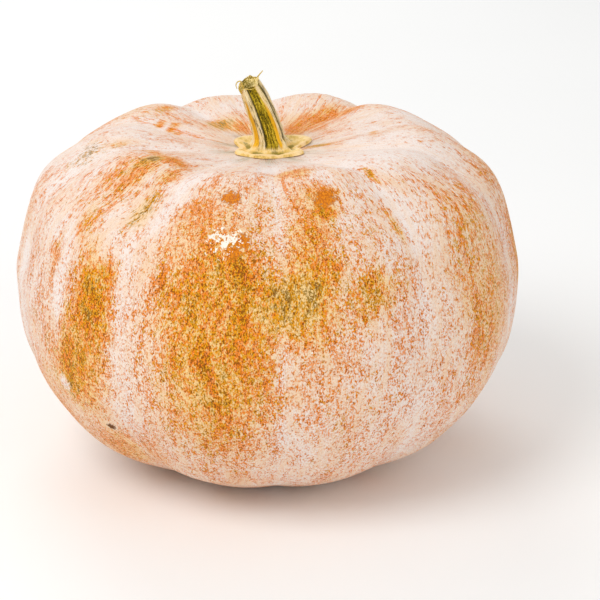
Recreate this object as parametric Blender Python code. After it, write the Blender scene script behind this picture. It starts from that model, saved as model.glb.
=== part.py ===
"""A squat ribbed pumpkin, whole and as picked, standing on its blossom end.

Two pieces: the fruit, and the dry five-ridged stem whose star-shaped foot is seated in the hollow on top.
Metres, +Z up. The origin is on the surface that the fruit stands on, under the middle of the fruit.
Azimuths are in degrees, 0 towards -Y and growing towards +X.
"""

import math

import bmesh
import bpy
from mathutils import Vector

FRUIT_RADIUS = 0.150
FRUIT_HEIGHT = 0.200
STEM_HEIGHT = 0.0415
STEM_RADIUS = 0.0084
CLEARANCE = 0.0003

# One rib's outline, from the stem seat over the shoulder and belly to the blossom scar.
# Each point is a share of the fruit's radius, a share of its height, and the depth of the furrow there.
RIB_OUTLINE = [
    (0.000, 0.936, 0.0000),
    (0.120, 0.940, 0.0000),
    (0.250, 0.955, 0.0012),
    (0.420, 0.986, 0.0036),
    (0.600, 1.000, 0.0046),
    (0.780, 0.931, 0.0040),
    (0.910, 0.840, 0.0033),
    (0.983, 0.663, 0.0029),
    (1.000, 0.546, 0.0027),
    (0.961, 0.348, 0.0029),
    (0.800, 0.160, 0.0034),
    (0.600, 0.057, 0.0038),
    (0.400, 0.000, 0.0032),
    (0.200, 0.012, 0.0014),
    (0.070, 0.029, 0.0000),
    (0.045, 0.021, 0.0000),
    (0.000, 0.024, 0.0000),
]
OUTLINE_STEP = 0.0125
FOOT_FLAT = 0.0005

# Each rib: the azimuth of the furrow where it starts, how far its crown swells past the outline, and that
# furrow's share of the full depth.
RIBS = [
    (-35.0, 0.0000, 1.00),
    (3.0, 0.0004, 0.45),
    (37.0, 0.0002, 0.75),
    (74.0, 0.0000, 0.85),
    (108.0, 0.0004, 1.00),
    (143.0, 0.0006, 1.00),
    (179.0, 0.0000, 0.90),
    (215.0, 0.0004, 1.00),
    (250.0, 0.0000, 1.00),
    (285.0, 0.0005, 0.85),
]
RIB_COLUMNS = 10
RIB_ROUNDNESS = 2.3
SWELL_STARTS = 0.25
SWELL_FULL = 0.45
BACK_SINK = 0.0034

# The stem's foot is a star of five points. Each has its azimuth, its radius, and the radius of the hollow after it.
STAR = [
    (-58.0, 0.0215, 0.0178),
    (-10.0, 0.0190, 0.0185),
    (58.0, 0.0250, 0.0232),
    (115.0, 0.0290, 0.0205),
    (229.0, 0.0245, 0.0160),
]
STAR_COLUMNS = 10
# The shaft has five ridges of its own, at uneven azimuths.
RIDGE_AZIMUTHS = [-28.0, 52.0, 112.0, 176.0, 250.0]
RIDGE_RELIEF = 0.20
RIDGE_WIDTH = 17.0
STEM_LEAN = 0.0105
LEAN_POWER = 1.8
CUT_TILT = math.radians(20)
CUT_STARTS = 0.6
CUT_DISH = 0.0012
RAGGED_RIM = 0.0005

# The foot's rows: how much of the foot's star is in the outline, its share of size, and its height.
FOOT_ROWS = [
    (1.00, 0.50, 0.0000),
    (1.00, 0.96, 0.0000),
    (1.00, 1.00, 0.0009),
    (1.00, 0.96, 0.0019),
    (0.72, 1.00, 0.0027),
    (0.42, 1.00, 0.0033),
    (0.20, 1.00, 0.0045),
    (0.08, 1.00, 0.0065),
]
# The shaft's rows: share of the stem's height, and share of its radius.
SHAFT_ROWS = [
    (0.22, 1.04),
    (0.32, 1.05),
    (0.44, 1.06),
    (0.56, 1.04),
    (0.68, 0.98),
    (0.80, 0.88),
    (0.91, 0.77),
    (1.00, 0.71),
]
CUT_RIM_SHARE = 0.80

# The torn strands at the cut: points from inside the rim outwards, as (x, y, z) from the middle of the cut.
STRAND_RADIUS = 0.0007
STRAND_SIDES = 6
STRAND_TAPER = 0.45
STRANDS = {
    "strand_upright": [
        (0.0030, 0.0030, -0.0030),
        (0.0040, 0.0042, 0.0004),
        (0.0059, 0.0042, 0.0032),
        (0.0082, 0.0040, 0.0060),
    ],
    "strand_hooked": [
        (-0.0026, -0.0010, -0.0030),
        (-0.0044, -0.0012, 0.0006),
        (-0.0064, -0.0014, 0.0008),
        (-0.0074, -0.0016, -0.0010),
        (-0.0068, -0.0018, -0.0032),
    ],
}


def clear_scene():
    for obj in list(bpy.data.objects):
        bpy.data.objects.remove(obj, do_unlink=True)


def smoothstep(low, high, value):
    share = min(1.0, max(0.0, (value - low) / (high - low)))
    return share * share * (3.0 - 2.0 * share)


def direction(azimuth):
    angle = math.radians(azimuth)
    return Vector((math.sin(angle), -math.cos(angle), 0.0))


def smooth_curve(points, step):
    """A Catmull-Rom curve through tuples of any length, cut so that its pieces are about one step long."""
    vectors = [Vector(p) for p in points]
    padded = [2 * vectors[0] - vectors[1], *vectors, 2 * vectors[-1] - vectors[-2]]
    curve = []
    for before, start, end, after in zip(padded, padded[1:], padded[2:], padded[3:]):
        pieces = max(1, round((end - start).length / step))
        for piece in range(pieces):
            t = piece / pieces
            curve.append(
                start
                + (end - before) * (0.5 * t)
                + (2 * before - 5 * start + 4 * end - after) * (0.5 * t**2)
                + (3 * start - before - 3 * end + after) * (0.5 * t**3)
            )
    curve.append(vectors[-1])
    return curve


def rib_outline():
    """The outline as rows of (radius, height, furrow depth), in metres."""
    sized = [(r * FRUIT_RADIUS, z * FRUIT_HEIGHT, depth) for r, z, depth in RIB_OUTLINE]
    return smooth_curve(sized, OUTLINE_STEP)


def outward_normals(rows):
    """The unit normal of the outline at each row, as (radial, upward)."""
    normals = []
    for i in range(len(rows)):
        before = rows[max(i - 1, 0)]
        after = rows[min(i + 1, len(rows) - 1)]
        along = Vector((after[0] - before[0], after[1] - before[1]))
        normals.append(Vector((-along.y, along.x)).normalized())
    return normals


def rib_columns():
    """Columns of (azimuth, share of the way up to the crown, the crown's swell, the nearer furrow's share)."""
    columns = []
    for i, (start, swell, furrow) in enumerate(RIBS):
        end, _, next_furrow = RIBS[(i + 1) % len(RIBS)]
        if end < start:
            end += 360.0
        for k in range(RIB_COLUMNS):
            across = k / RIB_COLUMNS
            from_crown = abs(2.0 * across - 1.0)
            height = 1.0 - from_crown**RIB_ROUNDNESS
            nearer = furrow if across < 0.5 else next_furrow
            columns.append((start + across * (end - start), height, swell, nearer))
    return columns


def rings_to_mesh(name, rings, bottom, top):
    """A closed mesh from rings of points that all turn the same way, closed by a point at each end."""
    bm = bmesh.new()
    ring_verts = [[bm.verts.new(p) for p in ring] for ring in rings]
    for lower, upper in zip(ring_verts, ring_verts[1:]):
        for i in range(len(lower)):
            j = (i + 1) % len(lower)
            bm.faces.new((lower[i], lower[j], upper[j], upper[i]))
    for ring, point in ((ring_verts[0], bottom), (ring_verts[-1], top)):
        pole = bm.verts.new(point)
        for i in range(len(ring)):
            bm.faces.new((ring[i], ring[(i + 1) % len(ring)], pole))
    bmesh.ops.recalc_face_normals(bm, faces=bm.faces)
    mesh = bpy.data.meshes.new(name)
    bm.to_mesh(mesh)
    bm.free()
    mesh.shade_smooth()
    obj = bpy.data.objects.new(name, mesh)
    bpy.context.scene.collection.objects.link(obj)
    return obj


def make_material(name, colour, roughness):
    material = bpy.data.materials.new(name)
    material.use_nodes = True
    shader = material.node_tree.nodes["Principled BSDF"]
    shader.inputs["Base Color"].default_value = (*colour, 1.0)
    shader.inputs["Roughness"].default_value = roughness
    shader.inputs["Metallic"].default_value = 0.0
    return material


def fruit_point(row, normal, column):
    radius, height, depth = row
    azimuth, rise, swell, furrow = column
    fade = smoothstep(SWELL_STARTS, SWELL_FULL, radius / FRUIT_RADIUS)
    fade *= smoothstep(SWELL_STARTS, SWELL_FULL, height / FRUIT_HEIGHT)
    behind = max(0.0, direction(azimuth).y) ** 2
    offset = fade * (swell * rise - BACK_SINK * behind) - depth * furrow * (1.0 - rise)
    point = direction(azimuth) * (radius + normal.x * offset)
    point.z = max(0.0, height - FOOT_FLAT + normal.y * offset)
    return point


def make_fruit(rows):
    normals = outward_normals(rows)
    columns = rib_columns()
    rings = [
        [fruit_point(row, normal, column) for column in columns]
        for row, normal in list(zip(rows, normals))[1:-1]
    ]
    ends = [Vector((0.0, 0.0, row[1] - FOOT_FLAT)) for row in (rows[0], rows[-1])]
    return rings_to_mesh("fruit", rings, *ends)


def seat_height(rows, radius):
    """The height of the hollow's floor at a distance from the axis, read along the fruit's own rows."""
    for inner, outer in zip(rows, rows[1:]):
        if radius <= outer[0]:
            share = (radius - inner[0]) / (outer[0] - inner[0])
            return inner[1] + share * (outer[1] - inner[1]) - FOOT_FLAT
    raise ValueError("the radius is outside the hollow")


def star_columns():
    """Columns of (azimuth, radius of the foot's star) round the stem."""
    columns = []
    for i, (start, tip, hollow) in enumerate(STAR):
        end, next_tip, _ = STAR[(i + 1) % len(STAR)]
        if end < start:
            end += 360.0
        for k in range(STAR_COLUMNS):
            across = k / STAR_COLUMNS
            nearer = tip if across < 0.5 else next_tip
            radius = hollow + (nearer - hollow) * smoothstep(0.0, 1.0, abs(2.0 * across - 1.0))
            columns.append((start + across * (end - start), radius))
    return columns


def shaft_radius(azimuth):
    nearest = min(abs((azimuth - ridge + 180.0) % 360.0 - 180.0) for ridge in RIDGE_AZIMUTHS)
    ridge = math.exp(-((nearest / RIDGE_WIDTH) ** 2))
    return STEM_RADIUS * (1.0 - RIDGE_RELIEF * (1.0 - ridge))


def foot_ring(rows, columns, star, size, height):
    ring = []
    for azimuth, star_radius in columns:
        radius = size * (star * star_radius + (1.0 - star) * shaft_radius(azimuth))
        point = direction(azimuth) * radius
        point.z = seat_height(rows, radius) + CLEARANCE + height
        ring.append(point)
    return ring


def stem_middle(base, share):
    """The middle of the stem at a share of its height: it leans further to -X as it rises."""
    return Vector((-STEM_LEAN * share**LEAN_POWER, 0.0, base + STEM_HEIGHT * share))


def shaft_ring(base, columns, share, size):
    middle = stem_middle(base, share)
    tilt = math.tan(CUT_TILT) * smoothstep(CUT_STARTS, 1.0, share)
    ring = []
    for azimuth, _ in columns:
        around = direction(azimuth) * (size * shaft_radius(azimuth))
        around.z = around.y * tilt
        ring.append(middle + around)
    return ring


def make_strand(name, origin, points):
    """A tapered tube along the points, whose sections stay square to its path."""
    path = [origin + Vector(p) for p in points]
    rings = []
    for i, point in enumerate(path):
        along = path[min(i + 1, len(path) - 1)] - path[max(i - 1, 0)]
        turn = along.to_track_quat("Z", "Y")
        radius = STRAND_RADIUS * (1.0 - STRAND_TAPER * i / (len(path) - 1))
        rings.append(
            [
                point + turn @ Vector((radius * math.cos(a), radius * math.sin(a), 0.0))
                for a in (2.0 * math.pi * k / STRAND_SIDES for k in range(STRAND_SIDES))
            ]
        )
    return rings_to_mesh(name, rings, path[0], path[-1])


def fuse(obj, others):
    """Joins the other objects to this one as a single solid, and removes them."""
    gathered = bpy.data.collections.new("fused")
    for other in others:
        gathered.objects.link(other)
    union = obj.modifiers.new("union", "BOOLEAN")
    union.operation = "UNION"
    union.solver = "MANIFOLD"
    union.operand_type = "COLLECTION"
    union.collection = gathered
    bpy.context.view_layer.update()
    graph = bpy.context.evaluated_depsgraph_get()
    fused = bpy.data.meshes.new_from_object(obj.evaluated_get(graph))
    obj.modifiers.remove(union)
    obj.data = fused
    fused.name = obj.name
    for other in others:
        bpy.data.objects.remove(other, do_unlink=True)
    bpy.data.collections.remove(gathered)


def make_stem(rows):
    columns = star_columns()
    base = seat_height(rows, 0.0) + CLEARANCE
    rings = [foot_ring(rows, columns, *row) for row in FOOT_ROWS]
    rings += [shaft_ring(base, columns, *row) for row in SHAFT_ROWS]
    rim = rings[-1]
    cut_middle = stem_middle(base, 1.0)
    for i, point in enumerate(rim):
        point.z += RAGGED_RIM * math.sin(7.0 * i) * math.cos(3.0 * i)
    dish = Vector((0.0, 0.0, CUT_DISH))
    rings.append([cut_middle + (point - cut_middle) * CUT_RIM_SHARE - dish for point in rim])
    stem = rings_to_mesh("stem", rings, Vector((0.0, 0.0, base)), cut_middle - dish)
    strands = [make_strand(name, cut_middle, points) for name, points in STRANDS.items()]
    fuse(stem, strands)
    return stem


def main():
    clear_scene()
    rows = rib_outline()
    fruit = make_fruit(rows)
    fruit.data.materials.append(make_material("bloomed_skin", (0.76, 0.50, 0.29), 0.55))
    stem = make_stem(rows)
    stem.data.materials.append(make_material("dry_stem", (0.44, 0.31, 0.08), 0.70))


main()
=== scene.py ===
"""Looks of the squat ribbed pumpkin: a mottled rind under pale bloom, and a dry ridged stem.

Lengths are in metres unless a comment says millimetres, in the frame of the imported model. Azimuths are in
degrees, 0 towards -Y, the side that the camera sees, and growing towards +X.
"""

import math

import bpy
import numpy as np
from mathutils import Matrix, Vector, noise


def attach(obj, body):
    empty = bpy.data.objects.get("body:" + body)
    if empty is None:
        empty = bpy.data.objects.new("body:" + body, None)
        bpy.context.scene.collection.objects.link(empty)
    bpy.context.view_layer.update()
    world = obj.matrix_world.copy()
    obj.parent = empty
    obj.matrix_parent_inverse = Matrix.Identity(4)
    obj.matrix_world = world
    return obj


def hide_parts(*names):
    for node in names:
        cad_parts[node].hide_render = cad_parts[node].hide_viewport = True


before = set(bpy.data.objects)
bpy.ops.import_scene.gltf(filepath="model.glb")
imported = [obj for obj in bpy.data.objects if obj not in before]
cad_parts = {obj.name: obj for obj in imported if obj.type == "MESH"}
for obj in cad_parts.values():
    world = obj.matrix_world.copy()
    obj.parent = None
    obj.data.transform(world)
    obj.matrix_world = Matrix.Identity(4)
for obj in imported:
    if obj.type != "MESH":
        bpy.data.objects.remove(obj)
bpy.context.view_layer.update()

FRUIT_RADIUS = 0.150
FRUIT_HEIGHT = 0.200
FOOT_FLAT = 0.0005
CLEARANCE = 0.0003
MM_PER_M = 1000.0

# One rib's outline, from the stem seat over the shoulder and belly to the blossom scar.
# Each point is a share of the fruit's radius, a share of its height, and the depth of the furrow there.
RIB_OUTLINE = [
    (0.000, 0.936, 0.0000),
    (0.120, 0.940, 0.0000),
    (0.250, 0.955, 0.0012),
    (0.420, 0.986, 0.0036),
    (0.600, 1.000, 0.0046),
    (0.780, 0.931, 0.0040),
    (0.910, 0.840, 0.0033),
    (0.983, 0.663, 0.0029),
    (1.000, 0.546, 0.0027),
    (0.961, 0.348, 0.0029),
    (0.800, 0.160, 0.0034),
    (0.600, 0.057, 0.0038),
    (0.400, 0.000, 0.0032),
    (0.200, 0.012, 0.0014),
    (0.070, 0.029, 0.0000),
    (0.045, 0.021, 0.0000),
    (0.000, 0.024, 0.0000),
]
FRUIT_ROWS = 232
OUTLINE_PIECES = 40

# Each rib: the azimuth of the furrow where it starts, how far its crown swells past the outline, and that
# furrow's share of the full depth.
RIBS = [
    (-35.0, 0.0000, 1.00),
    (3.0, 0.0004, 0.45),
    (37.0, 0.0002, 0.75),
    (74.0, 0.0000, 0.85),
    (108.0, 0.0004, 1.00),
    (143.0, 0.0006, 1.00),
    (179.0, 0.0000, 0.90),
    (215.0, 0.0004, 1.00),
    (250.0, 0.0000, 1.00),
    (285.0, 0.0005, 0.85),
]
RIB_COLUMNS = 40
RIB_ROUNDNESS = 2.3
FURROW_ROUNDING = 0.12
SWELL_STARTS = 0.25
SWELL_FULL = 0.45
BACK_SINK = 0.0034

# Relief on the rind: depth, and size of the lumps, for the wide and the narrow ones. The wrinkles run along
# the ribs, and are shallower on the belly than on top.
WIDE_LUMPS = (0.0012, 0.070)
SMALL_LUMPS = (0.0006, 0.022)
WRINKLE_DEPTH = 0.0005
WRINKLES_AROUND = 26.0
WRINKLES_ALONG = 22.0
WRINKLES_ON_BELLY = 0.25

# Where things begin and end along a rib, as distances from the stem seat.
SEAT_ENDS = (0.020, 0.042)
RELIEF_STARTS = (0.030, 0.060)
CALM_TOP_ENDS = (0.035, 0.085)
TOP_ENDS = (0.060, 0.150)
BELLY_STARTS = (0.070, 0.160)
CALM_BACK_ENDS = (0.100, 0.200)
UNDERSIDE_STARTS = (0.290, 0.380)
RELIEF_ENDS = (0.315, 0.345)

# The bloom ends between these values of how bare the rind is. Then how bare it is away from the marks, and
# the tone of its ground, with what each part of the fruit adds.
BARE_EDGE = (0.22, 0.78)
BARE = {"plain": 0.11, "crown": 0.05, "belly": 0.13, "underside": 0.12, "furrow": -0.12}
TONE = {"plain": 0.25, "belly": 0.14, "underside": 0.04}
FURROW_SHARE = 0.12

# The rind is smooth and streaked on top, and past these azimuths behind, by these shares. Elsewhere it is
# densely flecked.
CALM_BEHIND_STARTS = (75.0, 120.0)
CALM_BEHIND = 0.55
CALM_TOP = 0.65
# The flecks are drawn out into strokes down to here at the front, and further down aside of it.
STROKES_END = 0.055
STROKES_FURTHER_ASIDE = 0.060
STROKES_FADE = 0.085
FRONT_HALF_WIDTH = 26.0

# Marks on the rind: azimuth, then in millimetres the distance along the rib from the stem seat, half the
# width and half the length, then how bare of bloom the rind is there, and the tone of its ground: 0 pink,
# 0.42 orange, 0.66 ochre, 1 olive. A later mark lies over an earlier one.
MARKS = [
    # chalky bloom over the right shoulder
    (62, 76, 46, 30, -0.05, 0.15),
    # the front rib: a rubbed orange crown with bloom down both sides
    (-11, 192, 36, 70, 0.92, 0.54),
    (-13, 118, 24, 28, 0.50, 0.32),
    (1, 56, 5, 10, -0.20, 0.10),
    (-29, 104, 9, 30, -0.05, 0.10),
    (-16, 134, 15, 14, 0.62, 0.38),
    (-9, 152, 15, 14, 0.95, 0.54),
    (0, 128, 10, 34, 0.36, 0.50),
    # the rib to the right of it: orange down from the seat, a yellow patch, then olive
    (10, 82, 10, 8, 0.80, 0.22),
    (11, 150, 14, 52, 0.76, 0.42),
    (26, 128, 15, 44, 0.28, 0.42),
    (17, 106, 8, 5, 1.00, 0.40),
    (16, 118, 6.5, 6.5, 1.15, 0.62),
    (5, 170, 19, 17, 1.00, 0.80),
    (39, 94, 3, 12, 0.60, 0.60),
    (34, 135, 3, 14, 0.60, 0.60),
    (24, 168, 16, 16, 0.70, 0.58),
    # the ribs out on the right
    (57, 180, 30, 60, 0.55, 0.50),
    (92, 175, 30, 60, 0.42, 0.30),
    # the left ribs: streaks of orange, brown and green on the shoulder, strong ochre lower down
    (-50, 100, 18, 28, 0.48, 0.44),
    (-45, 74, 10, 7, 0.80, 0.36),
    (-59, 76, 8, 5, 0.70, 0.34),
    (-37, 92, 6, 14, 0.70, 0.42),
    (-47, 99, 5, 16, 0.72, 0.40),
    (-51, 86, 4, 9, 0.75, 0.95),
    (-36, 124, 7, 14, 0.66, 0.90),
    (-50, 140, 8, 14, 0.52, 0.58),
    (-42, 142, 5, 12, 0.00, 0.10),
    (-55, 170, 8, 16, 0.60, 0.28),
    (-42, 186, 13, 32, 1.05, 0.62),
    (-47, 222, 21, 34, 0.90, 0.53),
    (-62, 270, 18, 34, 0.50, 0.30),
    (-40, 288, 26, 24, 0.62, 0.40),
    (-53, 178, 5, 36, 0.02, 0.20),
    (-77, 112, 4, 28, -0.15, 0.10),
    (-51, 240, 8, 7, 0.66, 0.84),
    (-51, 239, 5, 4, 0.00, 0.50),
    (-78, 200, 5, 44, -0.10, 0.10),
    (-93, 150, 20, 62, 0.10, 0.12),
    (-81, 109, 12, 12, 0.32, 0.90),
    (-79, 90, 4, 12, 0.50, 0.60),
    # small orange marks over the left and right shoulders, and a green streak beside the stem
    (-118, 62, 3.5, 2.5, 0.95, 0.32),
    (-112, 62, 3.5, 2.5, 0.95, 0.32),
    (-115, 70, 4.5, 2.5, 0.95, 0.32),
    (-109, 57, 3.5, 2.5, 0.95, 0.32),
    (-129, 79, 9, 4, 0.80, 0.24),
    (97, 64, 7, 3, 0.80, 0.24),
    (95, 31, 3, 9, 0.80, 1.00),
    # streaks behind the stem
    (182, 48, 60, 20, 0.40, 0.28),
    (152, 38, 6, 14, 0.80, 0.30),
    (147, 62, 9, 18, 0.82, 0.30),
    (139, 78, 9, 14, 0.74, 0.28),
    (-147, 48, 8, 10, 0.60, 0.80),
    (-156, 38, 6, 10, 0.75, 0.30),
]
MARK_CRISPNESS = 1.15
# A mark's tone reaches a little past its bareness. Close to the stem seat, marks keep their width in degrees.
TONE_REACH = 1.3
LEAST_MARK_RADIUS = 0.02
# How far the marks' edges wander, in millimetres, the half size from which they wander that far, and the size
# of the lumps that they wander by.
MARK_WANDER = 5.0
FULL_WANDER_SIZE = 14.0
WANDER_SIZE = 0.013

# How far the streaks along the ribs sway, in degrees, and the size of the lumps that they sway by.
STREAK_SWAY = 4.0
STREAK_SWAY_SIZE = 0.045

# The ribs that the photograph doesn't show get marks of the same kinds, drawn at random along their crowns: a
# rubbed crown, then marks one below the other with values in these ranges, and a streak of bloom to one side.
HIDDEN_SIDE = (80.0, 250.0)
HIDDEN_SEED = 11
HALF_RIB = 18.0
HIDDEN_CROWN = (190.0, 30.0, 66.0)
HIDDEN_CROWN_BARE = (0.45, 0.72)
HIDDEN_CROWN_TONE = (0.35, 0.60)
HIDDEN_MARKS = 5
HIDDEN_FIRST_DOWN = 105.0
HIDDEN_STEP_DOWN = 45.0
HIDDEN_RANGES = {
    "azimuth": (-11.0, 11.0),
    "down": (-18.0, 18.0),
    "half_width": (6.0, 16.0),
    "half_length": (12.0, 30.0),
    "bare": (0.30, 0.85),
    "tone": (0.2, 0.9),
}
HIDDEN_BLOOM_ASIDE = 12.0
HIDDEN_BLOOM_DOWN = (100.0, 240.0)
HIDDEN_BLOOM = (6.0, 40.0, 0.12, 0.2)

# Small bare orange spots with a thin dark edge.
ORANGE_SPOTS = [
    (-6.3, 136, 5, 5),
    (-8, 142, 4, 4),
    (-11, 107, 6, 5),
    (17, 110, 7, 6),
]
# The white scab, the brown blemish and the knob low on the left, placed as the marks are.
SCAB = (-10.5, 136, 12, 10)
SCAB_HEIGHT = 0.0005
SCAB_EDGE = (0.35, 0.60)
SCAB_CRACK_SIZE = 0.0028
SCAB_CRACK_EDGE = (0.42, 0.55)
BLEMISH = (-41, 265, 4, 3)
KNOB = (-51, 240, 7, 6)
KNOB_HEIGHT = 0.0011
# The blossom scar's radius, and the shares of it between which its colour ends.
SCAR_RADIUS = 0.0085
SCAR_EDGE = (0.6, 1.3)
# How much weaker the grey streaks round the stem seat are on the ribs' crowns. In the furrows they are
# partly the rind's grey-green and partly painted shade.
SEAT_LESS_ON_CROWN = 0.8

STEM_HEIGHT = 0.0415
STEM_RADIUS = 0.0084
STEM_LEAN = 0.0105
LEAN_POWER = 1.8
# The stem's foot is a star: each point's azimuth and radius, and the radius of the hollow after it.
STAR = [
    (-58.0, 0.0215, 0.0178),
    (-10.0, 0.0190, 0.0185),
    (60.0, 0.0242, 0.0182),
    (119.0, 0.0298, 0.0205),
    (229.0, 0.0245, 0.0160),
]
STAR_COLUMNS = 44
RIDGE_AZIMUTHS = [-28.0, 52.0, 112.0, 176.0, 250.0]
RIDGE_RELIEF = 0.22
RIDGE_WIDTH = 17.0
# The foot is hollowed between its points, most where this share of the star is in the outline.
FOOT_HOLLOW = 0.0012
HOLLOW_STAR = 0.6
HOLLOW_REACH = 0.5
CUT_TILT = math.radians(20)
CUT_SIDE_TILT = math.radians(13)
CUT_STARTS = 0.6
# The foot's rows: how much of the star is in the outline, share of size, and height above the seat.
FOOT_ROWS = [
    (1.00, 0.50, 0.0000),
    (1.00, 0.95, 0.0000),
    (1.00, 1.00, 0.0010),
    (1.00, 0.95, 0.0023),
    (0.80, 0.98, 0.0028),
    (0.52, 1.00, 0.0021),
    (0.28, 1.08, 0.0034),
    (0.10, 1.18, 0.0062),
]
# The shaft's rows: share of the stem's height, and share of its radius.
SHAFT_ROWS = [
    (0.22, 1.24),
    (0.32, 1.22),
    (0.44, 1.19),
    (0.56, 1.16),
    (0.68, 1.10),
    (0.80, 1.00),
    (0.91, 0.86),
    (1.00, 0.76),
]
# How far the shaft's base stands to the right, and the shares of the height by which that ends.
BASE_SHIFT = 0.0015
BASE_SHIFT_ENDS = (0.2, 0.7)
# How far the left of the cut is torn down.
TORN_DEPTH = 0.0030
TORN_AZIMUTH = -85.0
TORN_WIDTH = 35.0
# The cut's rows: share of the rim, and depth below it.
CUT_ROWS = [
    (0.93, -0.0002),
    (0.84, 0.0005),
    (0.66, 0.0009),
    (0.46, 0.0012),
    (0.30, 0.0019),
    (0.12, 0.0024),
]
STEM_ROW_PIECES = 10

# Where the foot, the shaft and the cut start and end, in rows from the first row, the foot's last or the rim.
FOOT_STARTS = (1.0, 2.0)
FOOT_ENDS_PAST_FOOT = (-2.0, 1.0)
SHAFT_STARTS_PAST_FOOT = (-2.5, 0.5)
SHAFT_ENDS_PAST_RIM = (0.0, 0.6)
CUT_STARTS_PAST_RIM = (-0.3, 0.5)
AMBER_ENDS_PAST_RIM = (-5.0, -1.5)
PIT_STARTS_PAST_RIM = 3.0
PIT_ROWS = 2.5
RIM_HALF_WIDTH = 0.7
# The rows, with half their width, of the foot's rolled edge and of its hollows, painted dark olive, partly
# their own colour and partly painted shade, and weaker at the star's points.
ROLLED_ROW = (3.2, 0.9)
HOLLOW_ROW = (5.2, 0.9)
HOLLOW_AT_POINTS = 0.35
FLOW_PER_ROW = 0.0040

# Relief on the stem. The striae run along the shaft: how often around, how often a row, then each noise's
# scale, share and place. The cork's noises have a size, a share and a place.
STRIA_RELIEF = 0.00056
STRIAE_AROUND = 3.6
STRIAE_ALONG = 0.22
STRIAE = [(2.0, 1.0, 2.0), (4.6, 0.6, 7.0)]
CORK_RELIEF = 0.00045
CORK = [(0.0055, 1.0, 4.0), (0.0020, 0.4, 8.0)]
TORN_RELIEF = 0.0007
TORN_SIZE = 0.0011
RAGGED_RIM = 0.0005
RAGGED_AROUND = 5.0

# Torn fibres at the cut: half their thickness, and their points from the middle of the cut, from inside the
# rim outwards.
FIBRES = {
    "fibre_upright": (0.0006, [
        (0.0030, 0.0030, -0.0030),
        (0.0040, 0.0042, 0.0004),
        (0.0059, 0.0042, 0.0032),
        (0.0082, 0.0040, 0.0060),
    ]),
    "fibre_hooked": (0.0005, [
        (-0.0026, -0.0010, -0.0052),
        (-0.0044, -0.0012, 0.0006),
        (-0.0064, -0.0014, 0.0008),
        (-0.0074, -0.0016, -0.0010),
        (-0.0068, -0.0018, -0.0032),
    ]),
    "fibre_across": (0.0004, [
        (-0.0046, -0.0022, -0.0046),
        (-0.0024, -0.0047, -0.0026),
        (0.0010, -0.0056, -0.0026),
        (0.0038, -0.0044, -0.0022),
    ]),
    "fibre_left": (0.0007, [
        (-0.0042, -0.0016, -0.0060),
        (-0.0056, -0.0026, -0.0028),
        (-0.0050, -0.0024, 0.0002),
    ]),
}
FIBRE_SIDES = 10
FIBRE_PIECES = 6
FIBRE_TAPER = 0.55

# The colours round the shaft, as azimuth and half width, and the dark seams' strength too; the seams are
# partly painted shade in the grooves beside the ridges.
GREEN_FRONT = (12.0, 25.0)
GREEN_ASIDE = [(78.0, 14.0), (144.0, 20.0), (-148.0, 20.0)]
GREEN_ASIDE_SHARE = 0.8
AMBER_LEFT = (-66.0, 33.0)
AMBER_RIGHT = (39.0, 8.0)
AMBER_RIGHT_SHARE = 0.9
AMBER_HIGH_UP = 0.5
# Dark lines beside the ridges: partly the stem's own seams, partly painted shade in the grooves.
SEAMS_AND_SHADE = [(-10.0, 6.0, 0.90), (88.0, 17.0, 0.75), (-38.0, 4.0, 0.80)]

# Colours, in the 0 to 255 values that a screen shows. A ramp's colours each come after their place on it.
GROUND_RAMP = [
    (0.00, (246, 172, 122)),
    (0.22, (244, 152, 78)),
    (0.42, (240, 130, 14)),
    (0.62, (240, 164, 12)),
    (0.84, (204, 146, 26)),
    (1.00, (160, 126, 50)),
]
PIT_BROWN = (122, 62, 12)
WARM_BLOOM = (246, 213, 182)
PALE_BLOOM = (247, 235, 228)
THIN_BLOOM = (250, 214, 148)
PORE_BROWN = (196, 160, 128)
# Grey-green round the stem seat, deepest in the furrows: partly the rind's colour, partly painted shade.
SEAT_GREY_AND_SHADE = (166, 158, 118)
SPOT_EDGE = (164, 88, 18)
SPOT_DARK = (198, 98, 10)
SPOT_LIGHT = (246, 150, 26)
SCAB_WHITE = (254, 246, 230)
BLEMISH_BROWN = (112, 66, 24)
SCAR_TAN = (150, 112, 66)
FOOT_RAMP = [
    (0.25, (184, 152, 62)),
    (0.42, (236, 198, 112)),
    (0.58, (255, 222, 156)),
    (0.80, (255, 238, 196)),
]
FOOT_ROLLED = (252, 220, 168)
# The dark olive of the foot's hollows: partly their own colour, partly painted shade.
FOOT_OLIVE_AND_SHADE = (134, 120, 28)
GREEN_RAMP = [
    (0.34, (46, 42, 4)),
    (0.44, (112, 96, 4)),
    (0.54, (178, 148, 14)),
    (0.66, (236, 204, 66)),
]
STRAW_RAMP = [
    (0.30, (150, 128, 76)),
    (0.44, (232, 204, 140)),
    (0.62, (255, 238, 200)),
]
AMBER_RAMP = [(0.30, (206, 132, 6)), (0.60, (250, 196, 40))]
# Black of the cracks, and of the seams beside the ridges, which are partly painted shade.
CRACK_AND_SHADE_BLACK = (36, 34, 8)
CUT_RAMP = [
    (0.30, (104, 92, 20)),
    (0.45, (200, 172, 82)),
    (0.62, (250, 226, 160)),
]
CUT_PIT = (96, 84, 20)
FIBRE_RAMP = [(0.35, (176, 140, 36)), (0.65, (240, 212, 112))]
FLOOR_RAMP = [(0.3, (252, 252, 251)), (0.7, (254, 254, 253))]

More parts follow.
